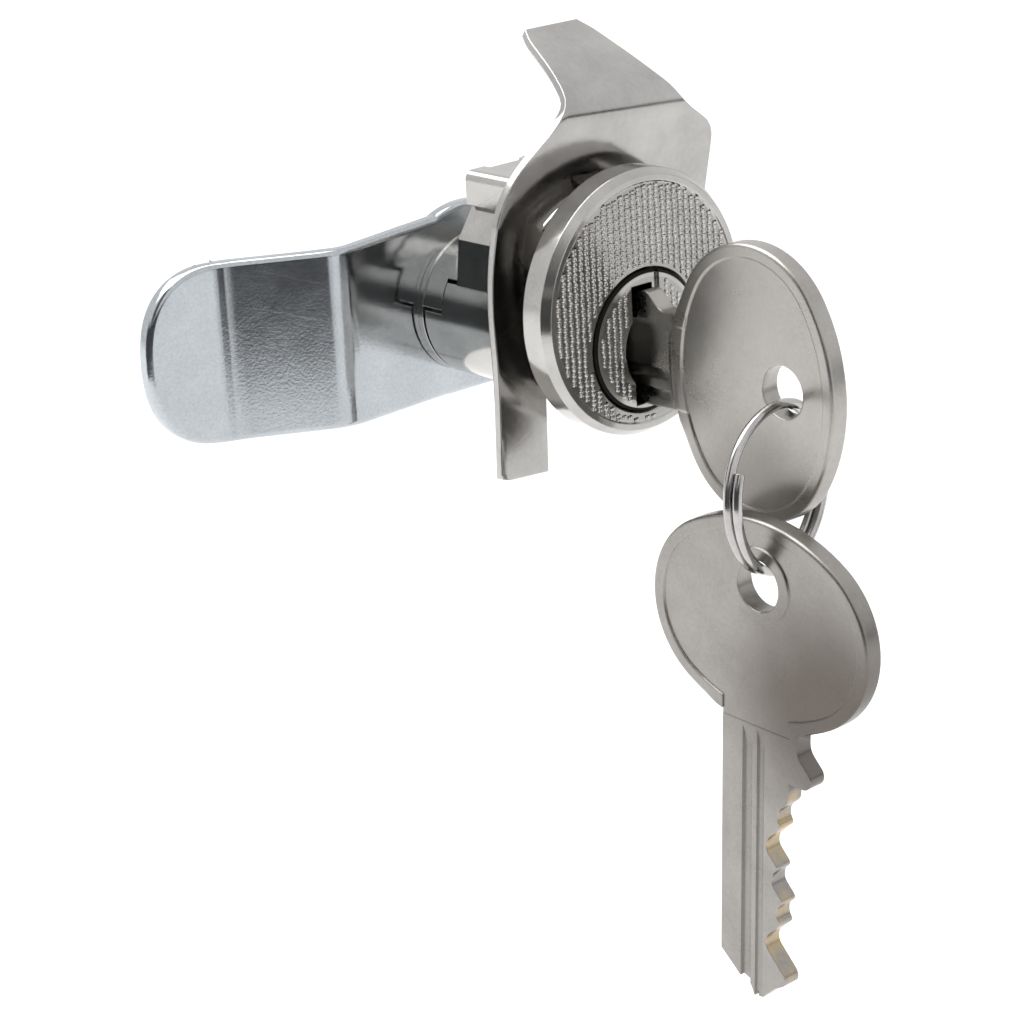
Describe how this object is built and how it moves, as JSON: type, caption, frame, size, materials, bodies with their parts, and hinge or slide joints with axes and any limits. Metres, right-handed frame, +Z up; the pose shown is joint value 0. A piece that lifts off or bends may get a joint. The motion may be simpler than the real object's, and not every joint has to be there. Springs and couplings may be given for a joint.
{
  "type": "mailbox lock",
  "caption": "Pin tumbler mailbox cam lock with round face, bowed spring retaining clip, rearward offset cam, key in the plug and a spare key hanging on a split ring.",
  "frame": {"origin": "on the plug's turning axis, in the plane of the head's back face that seats on the door", "axes": "+Y goes from the face into the mailbox along the plug's axis, +Z is up toward the pin housing, +X is to the right for someone facing the lock"},
  "size_m": [0.0432, 0.0568, 0.0774],
  "materials": {
    "bright_nickel": "polished nickel plate on die casting",
    "clip_nickel": "bright nickel plated spring steel",
    "cam_zinc": "bluish bright zinc plate",
    "screw_zinc": "zinc plate",
    "pin_brass": "turned",
    "spring_wire": "drawn wire",
    "key_nickel": "warm grey nickel plate on brass",
    "ring_steel": "bright drawn steel"
  },
  "bodies": {
    "housing": {"housing": "bright_nickel", "spring_cover": "bright_nickel", "driver_spring_1": "spring_wire", "driver_spring_2": "spring_wire", "driver_spring_3": "spring_wire", "driver_spring_4": "spring_wire", "driver_spring_5": "spring_wire"},
    "plug": {"plug": "bright_nickel", "key_pin_1": "pin_brass", "key_pin_2": "pin_brass", "key_pin_3": "pin_brass", "key_pin_4": "pin_brass", "key_pin_5": "pin_brass", "stop_collar": "bright_nickel", "cam": "cam_zinc", "lock_washer": "screw_zinc", "cam_screw": "screw_zinc", "key_inserted": "key_nickel"},
    "clip": {"mounting_clip": "clip_nickel"},
    "ring": {"key_ring": "ring_steel"},
    "spare": {"key_spare": "key_nickel"},
    "driver_1": {"driver_pin_1": "pin_brass"},
    "driver_2": {"driver_pin_2": "pin_brass"},
    "driver_3": {"driver_pin_3": "pin_brass"},
    "driver_4": {"driver_pin_4": "pin_brass"},
    "driver_5": {"driver_pin_5": "pin_brass"}
  },
  "joints": [
    {"name": "plug_turn", "type": "hinge", "parent": "housing", "child": "plug", "pos_m": [0, 0, 0], "axis": [0, 1, 0], "range_deg": [0, 90]},
    {"name": "clip_slide", "type": "slide", "parent": "housing", "child": "clip", "axis": [0.0698, 0, 0.9976], "range_m": [0, 0.025]},
    {"name": "ring_swing", "type": "hinge", "parent": "plug", "child": "ring", "pos_m": [0, -0.01865, -0.0014], "axis": [1, 0, 0], "range_deg": [-30, 20]},
    {"name": "spare_swing", "type": "hinge", "parent": "ring", "child": "spare", "pos_m": [-0.0047, -0.0199, -0.0159], "axis": [0.9996, 0.0233, 0.0157], "range_deg": [-30, 30]},
    {"name": "driver_lift_1", "type": "slide", "parent": "housing", "child": "driver_1", "axis": [0, 0, 1], "range_m": [0, 0.0014], "stiffness_N_per_m": 200, "springref_m": -0.002, "deforming": ["driver_spring_1"]},
    {"name": "driver_lift_2", "type": "slide", "parent": "housing", "child": "driver_2", "axis": [0, 0, 1], "range_m": [0, 0.0014], "stiffness_N_per_m": 200, "springref_m": -0.002, "deforming": ["driver_spring_2"]},
    {"name": "driver_lift_3", "type": "slide", "parent": "housing", "child": "driver_3", "axis": [0, 0, 1], "range_m": [0, 0.0014], "stiffness_N_per_m": 200, "springref_m": -0.002, "deforming": ["driver_spring_3"]},
    {"name": "driver_lift_4", "type": "slide", "parent": "housing", "child": "driver_4", "axis": [0, 0, 1], "range_m": [0, 0.0014], "stiffness_N_per_m": 200, "springref_m": -0.002, "deforming": ["driver_spring_4"]},
    {"name": "driver_lift_5", "type": "slide", "parent": "housing", "child": "driver_5", "axis": [0, 0, 1], "range_m": [0, 0.0014], "stiffness_N_per_m": 200, "springref_m": -0.002, "deforming": ["driver_spring_5"]}
  ]
}
